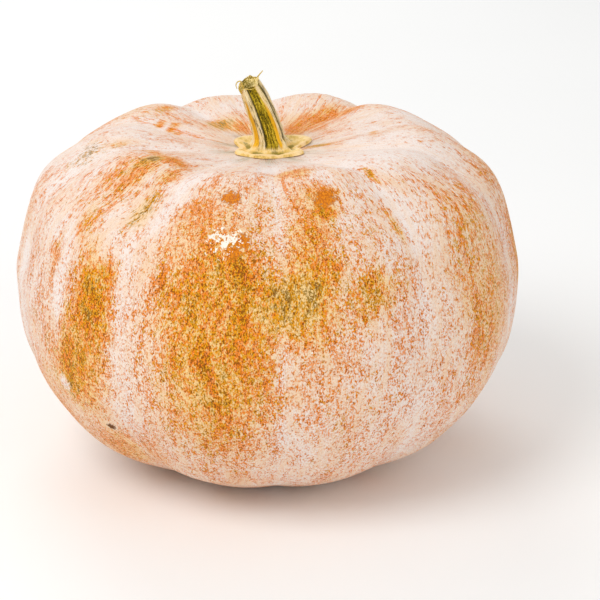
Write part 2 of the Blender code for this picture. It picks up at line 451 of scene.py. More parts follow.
# Noises of the rind: a factor on the distance along the ribs, which draws them out if it is under 1, then
# scale, detail and roughness. The strands' noises narrow towards the stem as the ribs do, the others less.
RIND_NOISES = {
    "hue": (1.00, 34.0, 2.0, 0.50),
    "drifts": (0.42, 60.0, 3.0, 0.55),
    "patches": (0.60, 150.0, 3.0, 0.60),
    "crust": (1.00, 340.0, 2.0, 0.70),
    "clumps": (0.70, 380.0, 2.0, 0.60),
    "specks": (0.50, 620.0, 1.0, 0.50),
    "flecks": (0.65, 1050.0, 2.0, 0.75),
    "pits": (0.60, 1500.0, 1.0, 0.50),
    "grains": (0.70, 2100.0, 1.0, 0.50),
}
STRAND_NOISES = {
    "streaks": (0.13, 240.0, 3.0, 0.60),
    "strokes": (0.24, 1000.0, 2.0, 0.65),
}
# Noises of the shaft, with the same four values, and of all else, with a scale, detail and roughness.
SHAFT_NOISES = {
    "stripes": (0.10, 1500.0, 3.0, 0.75),
    "wide": (0.10, 520.0, 2.0, 0.50),
}
CORK_NOISE = (260.0, 3.0, 0.55)
GRIT_NOISE = (1300.0, 2.0, 0.60)
FIBRE_NOISE = (1800.0, 2.0, 0.60)
FLOOR_NOISE = (2.5, 2.0, 0.50)
FLOOR_GRAIN = (700.0, 2.0, 0.50)

# The fine noises' pushes on how bare the rind is, as flecks, and as strokes with their share where it is
# streaky. Calm rind keeps a part of the push, and the patches scale it between two factors.
FLECKED = {"flecks": 3.8, "grains": 1.0}
STROKED = {"strokes": 3.2, "grains": 1.0}
STROKED_SHARE = 0.7
FINE_IF_CALM = 0.45
FINE_BY_PATCHES = (0.1, 1.9)
# The coarse noises' pushes, the last two where the rind isn't calm and where it is.
DRIFTS_PUSH = 1.2
STREAKS_PUSH = (1.4, 1.9)
CLUMPS_PUSH = (1.6, 0.6)
# The noises' pushes on the ground's tone, and the brown pits' push, edge and share.
TONE_PUSHES = {"patches": 1.0, "specks": 1.2}
PITS_PUSH = 3.4
PITS_EDGE = (0.95, 1.55)
PITS_SHARE = 0.88
# What makes the bloom chalky, and where it turns pale and where it turns thin.
CHALK_PUSHES = {"hue": 1.0, "streaks": 1.6}
CHALK_BY_FINE = -0.35
CHALK_BY_BARE = -0.9
CHALK_EDGE = (-0.75, 0.15)
THIN_EDGE = (0.25, 0.90)
# Edges and shares: of the pores, of the grey streaks round the seat, partly painted shade, and after a push
# of the orange spots.
PORES_EDGE = (0.56, 0.34)
PORES_SHARE = 0.30
SEAT_EDGE = (0.30, 0.60)
SEAT_SHARE = 0.7
SPOTS_PUSH = 1.4
SPOT_RIM = (1.0, 0.24, 0.46, 0.75)
SPOT_SKIN = (1.6, 0.36, 0.62, 0.85)
SPOT_LIGHT_EDGE = (0.36, 0.64)
# What has a ragged edge: how far a noise pushes it, and between which values its edge lies.
RAGGED = {
    "scab": (3.6, 0.88, 0.96),
    "blemish": (1.0, 0.35, 0.75),
    "scar": (0.8, 0.35, 0.65),
    "rolled": (1.0, 0.30, 0.90),
    "green": (0.6, 0.30, 0.58),
    "amber": (0.6, 0.35, 0.70),
    # The dark seams beside the ridges, partly painted shade in the grooves.
    "seam_and_shade": (2.0, 0.50, 0.90),
}
# Each bump's depth and strength, and each material's roughness and shine. Bare rind is less rough.
CRUST_BUMP = (0.00035, 0.6)
PORE_BUMP = (0.00025, 0.5)
CORK_BUMP = (0.0006, 0.8)
GRIT_BUMP = (0.0002, 0.5)
FIBRE_BUMP = (0.0002, 0.6)
FLOOR_BUMP = (0.00005, 0.1)
RIND_SURFACE = (0.74, 0.12)
BARE_LESS_ROUGH = 0.20
STEM_SURFACE = (0.62, 0.15)
FIBRE_SURFACE = (0.6, 0.35)
FLOOR_SURFACE = (0.85, 0.1)

IMAGE_WIDTH_PX = 600
FOCAL_PX = 2330.0
SENSOR_WIDTH_MM = 36.0
CAMERA_DISTANCE = 1.40
CAMERA_ELEVATION = math.radians(21.2)
CAMERA_REACH = 50.0
# The height of the fruit's middle, and where it falls in the photograph, from the middle of the frame.
MIDDLE_HEIGHT = 0.100
MIDDLE_RIGHT_PX = -32.0
MIDDLE_UP_PX = 11.4

FLOOR_SIZE = 14.0
# Each light's place, width and power in watts.
LIGHTS = {
    "key": ((-0.9, -0.9, 1.5), 1.1, 14.8),
    "fill": ((1.3, -1.2, 0.9), 1.4, 5.0),
    "back": ((-0.4, 1.4, 1.3), 1.2, 8.0),
}
SKY_STRENGTH = 0.59


def smoothstep(low, high, value):
    share = np.clip((value - low) / (high - low), 0.0, 1.0)
    return share * share * (3.0 - 2.0 * share)


def half_turn(azimuths):
    """Azimuths brought to the range from -180 to 180."""
    return (azimuths + 180.0) % 360.0 - 180.0


def band(place, middle, half_width):
    """1 at the middle, falling to 0 on both sides."""
    return np.exp(-(((place - middle) / half_width) ** 2))


def directions(azimuths):
    angles = np.radians(azimuths)
    return np.stack([np.sin(angles), -np.cos(angles), np.zeros_like(angles)], axis=-1)


def catmull_rom(points, pieces):
    """A Catmull-Rom curve through the first axis of an array, with the same number of pieces in each span."""
    points = np.asarray(points, dtype=float)
    padded = np.concatenate([[2 * points[0] - points[1]], points, [2 * points[-1] - points[-2]]])
    curve = []
    for before, start, end, after in zip(padded, padded[1:], padded[2:], padded[3:]):
        for piece in range(pieces):
            t = piece / pieces
            curve.append(
                start
                + (end - before) * (0.5 * t)
                + (2 * before - 5 * start + 4 * end - after) * (0.5 * t**2)
                + (3 * start - before - 3 * end + after) * (0.5 * t**3)
            )
    curve.append(points[-1])
    return np.array(curve)


def lumps(points, size, place):
    """Smooth noise from 0 to 1 at each point, with lumps of about the given size, another at each place."""
    flat = points.reshape(-1, 3) / size + place
    values = np.array([noise.noise(Vector(p)) for p in flat])
    return np.clip(0.5 + 0.7 * values, 0.0, 1.0).reshape(points.shape[:-1])


def closed_grid(name, points, first, last):
    """A closed mesh from an array of rings, with a pole at each end."""
    rows, columns, _ = points.shape
    index = np.arange(rows * columns).reshape(rows, columns)
    turned = np.roll(index, -1, axis=1)
    quads = np.stack([index[:-1], turned[:-1], turned[1:], index[1:]], axis=-1).reshape(-1, 4).tolist()
    first_pole, last_pole = rows * columns, rows * columns + 1
    fans = [(first_pole, turned[0, i], index[0, i]) for i in range(columns)]
    fans += [(last_pole, index[-1, i], turned[-1, i]) for i in range(columns)]
    mesh = bpy.data.meshes.new(name)
    mesh.from_pydata([*points.reshape(-1, 3), first, last], [], [*quads, *fans])
    if signed_volume(mesh) < 0.0:
        mesh.flip_normals()
    mesh.shade_smooth()
    return add_object(name, mesh)


def add_object(name, data):
    obj = bpy.data.objects.new(name, data)
    bpy.context.scene.collection.objects.link(obj)
    return obj


def signed_volume(mesh):
    mesh.calc_loop_triangles()
    places = np.array([v.co for v in mesh.vertices])
    corners = places[np.array([t.vertices for t in mesh.loop_triangles])]
    return float(np.sum(corners[:, 0] * np.cross(corners[:, 1], corners[:, 2]))) / 6.0


def paint(obj, name, values, poles=(0.0, 0.0)):
    """Stores a number or a vector for each point of a closed grid, and for its two poles."""
    values = np.asarray(values, dtype=np.float32)
    kind, field, width = ("FLOAT_VECTOR", "vector", 3) if values.ndim == 3 else ("FLOAT", "value", 1)
    data = np.concatenate([values.reshape(-1, width), np.reshape(poles, (2, width))]).astype(np.float32)
    layer = obj.data.attributes.new(name, kind, "POINT")
    layer.data.foreach_set(field, data.ravel())


def grid_normals(points):
    """Outward unit normals of an array of rings that turn towards growing azimuths, the lowest first."""
    along = np.gradient(points, axis=0)
    around = np.roll(points, -1, axis=1) - np.roll(points, 1, axis=1)
    normals = np.cross(around, along)
    return normals / np.maximum(np.linalg.norm(normals, axis=-1, keepdims=True), 1e-12)


def rib_rows():
    """The outline at even steps: radius, height, furrow depth, normal and distance from the stem seat."""
    sized = [(r * FRUIT_RADIUS, z * FRUIT_HEIGHT, depth) for r, z, depth in RIB_OUTLINE]
    curve = catmull_rom(sized, OUTLINE_PIECES)
    steps = np.hypot(np.diff(curve[:, 0]), np.diff(curve[:, 1]))
    distance = np.concatenate([[0.0], np.cumsum(steps)])
    even = np.linspace(0.0, distance[-1], FRUIT_ROWS)
    radius, height, depth = (np.interp(even, distance, curve[:, i]) for i in range(3))
    along_radius = np.gradient(radius)
    along_height = np.gradient(height)
    length = np.hypot(along_radius, along_height)
    normal = np.stack([-along_height / length, along_radius / length], axis=-1)
    return radius, height, depth, normal, even


def rib_columns():
    """For each column: azimuth, share of the way across its rib, the rib's swell, the furrow's share."""
    azimuths, across, swells, furrows = [], [], [], []
    for i, (start, swell, furrow) in enumerate(RIBS):
        end, _, next_furrow = RIBS[(i + 1) % len(RIBS)]
        if end < start:
            end += 360.0
        for k in range(RIB_COLUMNS):
            azimuths.append(start + (end - start) * k / RIB_COLUMNS)
            across.append(k / RIB_COLUMNS)
            swells.append(swell)
            furrows.append(furrow if k < RIB_COLUMNS / 2 else next_furrow)
    return np.array(azimuths), np.array(across), np.array(swells), np.array(furrows)


def rib_rise(across):
    """1 on a rib's crown and 0 in its furrow, which has a round floor."""
    to_furrow = 1.0 - np.abs(2.0 * across - 1.0)
    rounded = np.hypot(to_furrow, FURROW_ROUNDING) - FURROW_ROUNDING
    rounded /= math.hypot(1.0, FURROW_ROUNDING) - FURROW_ROUNDING
    return 1.0 - (1.0 - rounded) ** RIB_ROUNDNESS


def spot(azimuth, distance, radius, mark, wander=(0.0, 0.0)):
    """1 in the middle of a mark on the rind, falling to 0 past its edge."""
    middle, down, half_width, half_length = mark
    around = np.radians(half_turn(azimuth - middle)) * np.maximum(radius, LEAST_MARK_RADIUS) * MM_PER_M
    along = distance * MM_PER_M - down
    sway = min(1.0, min(half_width, half_length) / FULL_WANDER_SIZE)
    across_share = (around + sway * wander[0]) / half_width
    along_share = (along + sway * wander[1]) / half_length
    return np.exp(-((across_share**2 + along_share**2) ** MARK_CRISPNESS))


def hidden_marks():
    """Marks for the ribs out of the photograph's sight: rubbed crowns, streaks and patches of bloom."""
    draw = np.random.default_rng(HIDDEN_SEED)
    marks = []
    low, high = HIDDEN_SIDE
    for start, _, _ in RIBS:
        middle = (start + HALF_RIB) % 360.0
        if not low < middle < high:
            continue
        bare = draw.uniform(*HIDDEN_CROWN_BARE)
        marks.append((middle, *HIDDEN_CROWN, bare, draw.uniform(*HIDDEN_CROWN_TONE)))
        for k in range(HIDDEN_MARKS):
            aside, down, *rest = [draw.uniform(*limits) for limits in HIDDEN_RANGES.values()]
            marks.append((middle + aside, HIDDEN_FIRST_DOWN + HIDDEN_STEP_DOWN * k + down, *rest))
        aside = draw.choice([-HIDDEN_BLOOM_ASIDE, HIDDEN_BLOOM_ASIDE])
        marks.append((middle + aside, draw.uniform(*HIDDEN_BLOOM_DOWN), *HIDDEN_BLOOM))
    return marks


def scab_relief(points, cover):
    """A thin cracked crust where the cover is high."""
    cracks = lumps(points, SCAB_CRACK_SIZE, place=5.0)
    return SCAB_HEIGHT * smoothstep(*SCAB_EDGE, cover) * smoothstep(*SCAB_CRACK_EDGE, cracks)


def fruit_relief(plain, azimuth, distance, radius):
    """How far the rind stands out from the smooth ribs: lumps, wrinkles along them, the scab and the knob."""
    relief = WIDE_LUMPS[0] * (0.5 - lumps(plain, WIDE_LUMPS[1], place=3.0))
    relief -= SMALL_LUMPS[0] * lumps(plain, SMALL_LUMPS[1], place=9.0)
    wrinkles = directions(azimuth)[None] * WRINKLES_AROUND
    wrinkles = wrinkles + distance[:, None, None] * (0.0, 0.0, WRINKLES_ALONG)
    top = 1.0 - smoothstep(*TOP_ENDS, distance)
    wrinkled = WRINKLES_ON_BELLY + (1.0 - WRINKLES_ON_BELLY) * top[:, None]
    relief -= WRINKLE_DEPTH * lumps(wrinkles, 1.0, place=1.0) * wrinkled
    relief *= (smoothstep(*RELIEF_STARTS, distance) * (1.0 - smoothstep(*RELIEF_ENDS, distance)))[:, None]
    relief += scab_relief(plain, spots(azimuth, distance, radius, [SCAB]))
    return relief + KNOB_HEIGHT * spots(azimuth, distance, radius, [KNOB])


def make_fruit():
    radius, height, depth, normal, distance = (a[1:-1] for a in rib_rows())
    azimuth, across, swell, furrow = rib_columns()
    rise = rib_rise(across)
    column_direction = directions(azimuth)
    plain = column_direction[None] * radius[:, None, None]
    plain[..., 2] = height[:, None]

    fade = smoothstep(SWELL_STARTS, SWELL_FULL, radius / FRUIT_RADIUS)
    fade = fade * smoothstep(SWELL_STARTS, SWELL_FULL, height / FRUIT_HEIGHT)
    behind = np.maximum(0.0, column_direction[:, 1]) ** 2
    offset = fade[:, None] * (swell * rise - BACK_SINK * behind)[None, :]
    offset = offset - depth[:, None] * (furrow * (1.0 - rise))[None, :]
    offset = offset + fruit_relief(plain, azimuth, distance, radius)

    around = radius[:, None] + normal[:, 0][:, None] * offset
    points = column_direction[None] * around[..., None]
    points[..., 2] = np.maximum(0.0, height[:, None] - FOOT_FLAT + normal[:, 1][:, None] * offset)
    top_height, foot_height = (RIB_OUTLINE[end][1] * FRUIT_HEIGHT - FOOT_FLAT for end in (0, -1))
    fruit = closed_grid("rind", points, (0.0, 0.0, top_height), (0.0, 0.0, foot_height))
    paint_fruit(fruit, plain, azimuth, distance, radius, rise)
    return fruit


def paint_fruit(fruit, plain, azimuth, distance, radius, rise):
    """Stores what the rind's material reads at each point."""
    poles = [(0.0, 0.0, 0.0), (0.0, 0.0, distance[-1])]
    flow = directions(azimuth)[None] * np.sqrt(radius * FRUIT_RADIUS)[:, None, None]
    flow[..., 2] = distance[:, None]
    paint(fruit, "flow", flow, poles)
    sway = STREAK_SWAY * (2.0 * lumps(plain, STREAK_SWAY_SIZE, place=40.0) - 1.0)
    strand = directions(azimuth[None] + sway) * FRUIT_RADIUS
    strand[..., 2] = distance[:, None]
    paint(fruit, "strand", strand, poles)

    wander = [MARK_WANDER * (2.0 * lumps(plain, WANDER_SIZE, place) - 1.0) for place in (20.0, 30.0)]
    bare, tone = rind_state(azimuth, distance, radius, rise, wander)
    paint(fruit, "bare", bare, [0.2, 0.5])
    paint(fruit, "tone", tone, [0.2, 0.5])
    paint(fruit, "calm", calmness(azimuth, distance), [1.0, 0.5])
    paint(fruit, "streaky", streakiness(azimuth, distance), [1.0, 0.0])
    for name, marks in [("scab", [SCAB]), ("blemish", [BLEMISH]), ("spots", ORANGE_SPOTS)]:
        paint(fruit, name, spots(azimuth, distance, radius, marks))

    every_column = np.ones((1, len(azimuth)))
    scar = (1.0 - smoothstep(*SCAR_EDGE, radius / SCAR_RADIUS))[:, None] * every_column
    scar[: len(radius) // 2] = 0.0
    paint(fruit, "scar", scar, [0.0, 1.0])
    # Grey streaks round the stem seat, strongest in the furrows: partly grey-green rind, partly painted
    # shade.
    seat = (1.0 - smoothstep(*SEAT_ENDS, distance))[:, None] * every_column
    paint(fruit, "seat", seat * (1.0 - SEAT_LESS_ON_CROWN * rise[None]), [1.0, 0.0])


def rind_state(azimuth, distance, radius, rise, wander):
    """How bare of bloom the rind is, and the tone of its ground."""
    crown = rise[None, :] ** 2
    belly = smoothstep(*BELLY_STARTS, distance)[:, None]
    underside = smoothstep(*UNDERSIDE_STARTS, distance)[:, None]
    furrow = (1.0 - smoothstep(0.0, FURROW_SHARE, rise))[None, :]
    bare = BARE["plain"] + BARE["crown"] * crown + BARE["belly"] * belly
    bare = bare + BARE["underside"] * underside
    tone = TONE["plain"] + TONE["belly"] * belly * crown + TONE["underside"] * underside
    for *mark, mark_bare, mark_tone in [*MARKS, *hidden_marks()]:
        cover = spot(azimuth[None], distance[:, None], radius[:, None], mark, wander)
        bare = bare + (mark_bare - bare) * cover
        tone = tone + (mark_tone - tone) * np.minimum(1.0, TONE_REACH * cover)
    return bare + BARE["furrow"] * furrow * (1.0 - underside), tone


def calmness(azimuth, distance):
    """1 where the rind is smooth and streaked, on top and behind, and 0 where it is densely flecked."""
    behind = smoothstep(*CALM_BEHIND_STARTS, np.abs(half_turn(azimuth)))[None]
    behind = behind * (1.0 - smoothstep(*CALM_BACK_ENDS, distance))[:, None]
    top = 1.0 - smoothstep(*CALM_TOP_ENDS, distance)[:, None]
    return np.clip(CALM_BEHIND * behind + CALM_TOP * top, 0.0, 1.0)


def streakiness(azimuth, distance):
    """1 where the flecks are drawn out into strokes, on the shoulder, and 0 on the belly."""
    aside = 1.0 - band(half_turn(azimuth), 0.0, FRONT_HALF_WIDTH)
    beyond = distance[:, None] - STROKES_END - STROKES_FURTHER_ASIDE * aside
    return 1.0 - smoothstep(0.0, STROKES_FADE, beyond)


def spots(azimuth, distance, radius, marks):
    """The highest cover of several marks at each point."""
    covers = [spot(azimuth[None], distance[:, None], radius[:, None], mark) for mark in marks]
    return np.maximum.reduce(covers)


def seat_height(radius):
    """The height of the hollow's floor at each distance from the axis."""
    row_radius, row_height, *_ = rib_rows()
    inner = row_radius[: int(np.argmax(row_radius))]
    return np.interp(radius, inner, row_height[: len(inner)]) - FOOT_FLAT


def star_columns():
    """For each column of the stem: azimuth, the star's radius, and 1 at a point of it, 0 between."""
    azimuths, radii, closeness = [], [], []
    for i, (start, tip, hollow) in enumerate(STAR):
        end, next_tip, _ = STAR[(i + 1) % len(STAR)]
        if end < start:
            end += 360.0
        for k in range(STAR_COLUMNS):
            across = k / STAR_COLUMNS
            close = abs(2.0 * across - 1.0)
            nearer = tip if across < 0.5 else next_tip
            azimuths.append(start + (end - start) * across)
            radii.append(hollow + (nearer - hollow) * smoothstep(0.0, 1.0, close))
            closeness.append(close)
    return np.array(azimuths), np.array(radii), np.array(closeness)


def ridge_closeness(azimuth):
    """1 on a ridge of the shaft, falling to 0 on the faces between them."""
    nearest = np.full(azimuth.shape, 360.0)
    for ridge in RIDGE_AZIMUTHS:
        nearest = np.minimum(nearest, np.abs(half_turn(azimuth - ridge)))
    return band(nearest, 0.0, RIDGE_WIDTH)


def stem_rings(azimuth, star_radius, closeness):
    """The stem's main rings, from under its foot up the shaft and into the cut."""
    point_out = directions(azimuth)
    shaft_radius = STEM_RADIUS * (1.0 - RIDGE_RELIEF * (1.0 - ridge_closeness(azimuth)))
    base = seat_height(0.0) + CLEARANCE
    rings = []
    torn = TORN_DEPTH * band(half_turn(azimuth), TORN_AZIMUTH, TORN_WIDTH)
    for star, size, height in FOOT_ROWS:
        radius = size * (star * star_radius + (1.0 - star) * shaft_radius)
        ring = point_out * radius[:, None]
        ring[:, 0] += BASE_SHIFT * (1.0 - star)
        hollowed = smoothstep(0.0, 0.5, 1.0 - abs(star - HOLLOW_STAR) / HOLLOW_REACH)
        hollow = FOOT_HOLLOW * (1.0 - closeness) ** 2 * hollowed
        ring[:, 2] = seat_height(radius) + CLEARANCE + height - hollow
        rings.append(ring)
    for share, size in SHAFT_ROWS:
        lean = BASE_SHIFT * (1.0 - smoothstep(*BASE_SHIFT_ENDS, share)) - STEM_LEAN * share**LEAN_POWER
        middle = np.array([lean, 0.0, base + STEM_HEIGHT * share])
        ring = point_out * (size * shaft_radius)[:, None]
        slope = ring[:, 1] * math.tan(CUT_TILT) + ring[:, 0] * math.tan(CUT_SIDE_TILT) - torn
        ring[:, 2] = slope * smoothstep(CUT_STARTS, 1.0, share)
        rings.append(middle + ring)
    rim = rings[-1].copy()
    middle = np.array([-STEM_LEAN, 0.0, base + STEM_HEIGHT])
    for share, sunk in CUT_ROWS:
        ring = middle + (rim - middle) * share
        ring[:, 2] -= sunk
        rings.append(ring)
    return rings, middle


def make_stem():
    azimuth, star_radius, closeness = star_columns()
    rings, cut_middle = stem_rings(azimuth, star_radius, closeness)
    points = catmull_rom(rings, STEM_ROW_PIECES)
    row = np.arange(len(points)) / STEM_ROW_PIECES
    past_foot = row - len(FOOT_ROWS) + 1.0
    past_rim = past_foot - len(SHAFT_ROWS)
    on_foot = smoothstep(*FOOT_STARTS, row) * (1.0 - smoothstep(*FOOT_ENDS_PAST_FOOT, past_foot))
    on_shaft = smoothstep(*SHAFT_STARTS_PAST_FOOT, past_foot)
    on_shaft = on_shaft * (1.0 - smoothstep(*SHAFT_ENDS_PAST_RIM, past_rim))
    on_cut = smoothstep(*CUT_STARTS_PAST_RIM, past_rim)

    normals = grid_normals(points)
    lengthwise = directions(azimuth)[None] * STRIAE_AROUND + row[:, None, None] * (0.0, 0.0, STRIAE_ALONG)
    striae = sum(share * lumps(lengthwise * scale, 1.0, place) for scale, share, place in STRIAE)
    cork = sum(share * lumps(points, size, place) for size, share, place in CORK)
    relief = -STRIA_RELIEF * striae * on_shaft[:, None]
    relief -= CORK_RELIEF * cork * on_foot[:, None]
    relief -= TORN_RELIEF * lumps(points, TORN_SIZE, place=6.0) * on_cut[:, None]
    points = points + normals * relief[..., None]
    ragged = 2.0 * lumps(directions(azimuth)[None] * RAGGED_AROUND, 1.0, place=3.0) - 1.0
    points[..., 2] += RAGGED_RIM * ragged * band(past_rim, 0.0, RIM_HALF_WIDTH)[:, None]

    first = (0.0, 0.0, seat_height(0.0) + CLEARANCE)
    stem = closed_grid("stem_ridged", points, first, points[-1].mean(axis=0))
    paint_stem(stem, azimuth, closeness, row, past_rim, on_shaft, on_cut)
    fibres = [make_fibre(name, cut_middle, *FIBRES[name]) for name in FIBRES]
    return stem, fibres


def paint_stem(stem, azimuth, closeness, row, past_rim, on_shaft, on_cut):
    """Stores what the stem's material reads at each point."""
    turn = half_turn(azimuth)
    every_column = np.ones((1, len(azimuth)))
    shaft = on_shaft[:, None] * every_column
    flow = directions(azimuth)[None] * STEM_RADIUS + row[:, None, None] * (0.0, 0.0, FLOW_PER_ROW)
    paint(stem, "flow", flow, [(0.0, 0.0, 0.0), (0.0, 0.0, 0.1)])
    paint(stem, "shaft", shaft)
    paint(stem, "green", green_faces(turn) * shaft)
    paint(stem, "amber", amber_edge(turn, past_rim) * shaft)
    # Dark seams beside the ridges, partly painted shade in the grooves.
    paint(stem, "seam_and_shade", seam_lines_and_shade(turn) * shaft)
    paint(stem, "rolled", band(row, *ROLLED_ROW)[:, None] * every_column)
    paint(stem, "cut", on_cut[:, None] * every_column, [0.0, 1.0])
    pit = np.clip((past_rim - PIT_STARTS_PAST_RIM) / PIT_ROWS, 0.0, 1.0)
    paint(stem, "pit", pit[:, None] * every_column, [0.0, 1.0])
    # The foot's hollows, painted dark olive as their own colour and as painted shade, weaker at the star's
    # points.
    between_points = HOLLOW_AT_POINTS + (1.0 - HOLLOW_AT_POINTS) * (1.0 - closeness)
    paint(stem, "hollow", between_points[None] * band(row, *HOLLOW_ROW)[:, None])


def green_faces(turn):
    """The dark green faces: the one between the two front ridges, and others round the back."""
    middle, half_width = GREEN_FRONT
    front = np.exp(-(((turn - middle) / half_width) ** 4))
    aside = sum(band(turn, *face) for face in GREEN_ASIDE)
    return np.clip(front + GREEN_ASIDE_SHARE * aside, 0.0, 1.0)[None]


def amber_edge(turn, past_rim):
    """The orange-yellow flank on the left, strongest low down, and a trace beside the right ridge."""
    low = 1.0 - smoothstep(*AMBER_ENDS_PAST_RIM, past_rim)
    both = band(turn, *AMBER_LEFT) + AMBER_RIGHT_SHARE * band(turn, *AMBER_RIGHT)
    return both[None] * (AMBER_HIGH_UP + (1.0 - AMBER_HIGH_UP) * low)[:, None]


def seam_lines_and_shade(turn):
    """The dark lines beside the two front ridges and the amber flank: seams, partly painted shade."""
    return sum(strength * band(turn, middle, half_width) for middle, half_width, strength in SEAMS_AND_SHADE)[None]


def make_fibre(name, origin, thickness, points):
    """A tapered strand through the points, with a round section square to its path."""
    path = [Vector(p) for p in catmull_rom(np.array(points) + origin, FIBRE_PIECES)]
    rings = []
    for i, point in enumerate(path):
        along = path[min(i + 1, len(path) - 1)] - path[max(i - 1, 0)]
        turn = along.to_track_quat("Z", "Y")
        radius = thickness * (1.0 - FIBRE_TAPER * i / (len(path) - 1))
        angles = [2.0 * math.pi * k / FIBRE_SIDES for k in range(FIBRE_SIDES)]
        section = [Vector((radius * math.cos(a), radius * math.sin(a), 0.0)) for a in angles]
        rings.append([point + turn @ offset for offset in section])
    return closed_grid(name, np.array(rings), path[0], path[-1])


def linear_colour(screen):
    """A linear colour with alpha from the 0 to 255 values that a screen shows."""
    shares = [c / 255.0 for c in screen]
    linear = [c / 12.92 if c <= 0.04045 else ((c + 0.055) / 1.055) ** 2.4 for c in shares]
    return (*linear, 1.0)


class Tree:
    """A material's node tree. Its methods add the nodes for one step and return the output socket."""

    def __init__(self, name):
        self.material = bpy.data.materials.new(name)
        self.material.use_nodes = True
        self.nodes = self.material.node_tree.nodes
        self.links = self.material.node_tree.links
        self.shader = self.nodes["Principled BSDF"]

    def put(self, socket, value):
        if isinstance(value, bpy.types.NodeSocket):
            self.links.new(value, socket)
        else:
            socket.default_value = value

    def attribute(self, name, output="Fac"):
        node = self.nodes.new("ShaderNodeAttribute")
        node.attribute_name = name
        return node.outputs[output]

    def stretch(self, vector, scale):
        node = self.nodes.new("ShaderNodeVectorMath")
        node.operation = "MULTIPLY"
        self.put(node.inputs[0], vector)
        self.put(node.inputs[1], scale)
        return node.outputs[0]

    def position(self):
        return self.nodes.new("ShaderNodeNewGeometry").outputs["Position"]

    def noise(self, vector, scale, detail, roughness):
        node = self.nodes.new("ShaderNodeTexNoise")
        self.put(node.inputs["Vector"], vector)
        node.inputs["Scale"].default_value = scale
        node.inputs["Detail"].default_value = detail
        node.inputs["Roughness"].default_value = roughness
        return node.outputs["Fac"]

    def drawn_out(self, vector, along, scale, detail, roughness):
        """Noise that is drawn out along the vector's third axis, where the factor along it is under 1."""
        return self.noise(self.stretch(vector, (1.0, 1.0, along)), scale, detail, roughness)

    def math(self, operation, *values):
        node = self.nodes.new("ShaderNodeMath")
        node.operation = operation
        for socket, value in zip(node.inputs, values):
            self.put(socket, value)
        return node.outputs[0]

    def times(self, value, share):
        return self.math("MULTIPLY", value, share)

    def add(self, *values):
        total = values[0]
        for value in values[1:]:
            total = self.math("ADD", total, value)
        return total

    def swing(self, value, amount):
        """A noise value turned into a push of up to half the amount either way."""
        return self.times(self.math("SUBTRACT", value, 0.5), amount)

    def step(self, value, low, high):
        """0 below low and 1 above high, with a smooth change between."""
        node = self.nodes.new("ShaderNodeMapRange")
        node.interpolation_type = "SMOOTHSTEP"
        self.put(node.inputs["Value"], value)
        self.put(node.inputs["From Min"], low)
        self.put(node.inputs["From Max"], high)
        return node.outputs["Result"]

    def swings(self, noises, amounts):
        return [self.swing(noises[name], amount) for name, amount in amounts.items()]

    def ragged(self, name, noise):
        """What a piece stores under the name, as a share with an edge that the noise makes ragged."""
        amount, *edge = RAGGED[name]
        return self.step(self.add(self.attribute(name), self.swing(noise, amount)), *edge)

    def blend(self, share, low, high):
        """A number between low, at a share of 0, and high, at 1."""
        return self.math("MULTIPLY_ADD", share, self.math("SUBTRACT", high, low), low)

    def mix(self, share, low, high, blend="MIX"):
        """A mix of two colours, each a socket or the values that a screen shows."""
        node = self.nodes.new("ShaderNodeMix")
        node.data_type = "RGBA"
        node.blend_type = blend
        self.put(node.inputs["Factor"], share)
        for socket, colour in ((node.inputs[6], low), (node.inputs[7], high)):
            self.put(socket, linear_colour(colour) if isinstance(colour, tuple) else colour)
        return node.outputs[2]

    def ramp(self, value, stops):
        node = self.nodes.new("ShaderNodeValToRGB")
        ramp = node.color_ramp
        while len(ramp.elements) < len(stops):
            ramp.elements.new(1.0)
        for element, (place, colour) in zip(ramp.elements, stops):
            element.position = place
            element.color = linear_colour(colour)
        self.put(node.inputs["Fac"], value)
        return node.outputs["Color"]

    def bump(self, height, distance, strength, under=None):
        node = self.nodes.new("ShaderNodeBump")
        node.inputs["Distance"].default_value = distance
        node.inputs["Strength"].default_value = strength
        self.put(node.inputs["Height"], height)
        if under is not None:
            self.put(node.inputs["Normal"], under)
        return node.outputs["Normal"]

    def finish(self, colour, normal, roughness, shine):
        """Sets the shader's sockets and returns the material."""
        self.put(self.shader.inputs["Base Color"], colour)
        self.put(self.shader.inputs["Normal"], normal)
        self.put(self.shader.inputs["Roughness"], roughness)
        self.put(self.shader.inputs["Specular IOR Level"], shine)
        return self.material


def rind_material():
    """Mottled orange, ochre and olive ground, dithered with pale bloom in flecks drawn out along the ribs."""
    tree = Tree("bloomed_rind")
    flow = tree.attribute("flow", "Vector")
    strand = tree.attribute("strand", "Vector")
    noises = {name: tree.drawn_out(flow, *values) for name, values in RIND_NOISES.items()}
    noises.update({name: tree.drawn_out(strand, *values) for name, values in STRAND_NOISES.items()})

    fine, level = rind_bareness(tree, noises)
    bare = tree.step(level, *BARE_EDGE)
    colour = tree.mix(bare, bloom_colour(tree, noises, fine), ground_colour(tree, noises, level))
    pores = tree.times(tree.step(noises["grains"], *PORES_EDGE), PORES_SHARE)
    colour = tree.mix(pores, colour, PORE_BROWN, "MULTIPLY")
    colour = seat_and_spots(tree, noises, colour)
    colour = scab_and_scars(tree, noises, colour)

    under_bloom, shine = RIND_SURFACE
    roughness = tree.math("MULTIPLY_ADD", bare, -BARE_LESS_ROUGH, under_bloom)
    crust_edge = tree.math("SUBTRACT", 1.0, bare)
    normal = tree.bump(crust_edge, *CRUST_BUMP, tree.bump(noises["grains"], *PORE_BUMP))
    return tree.finish(colour, normal, roughness, shine)


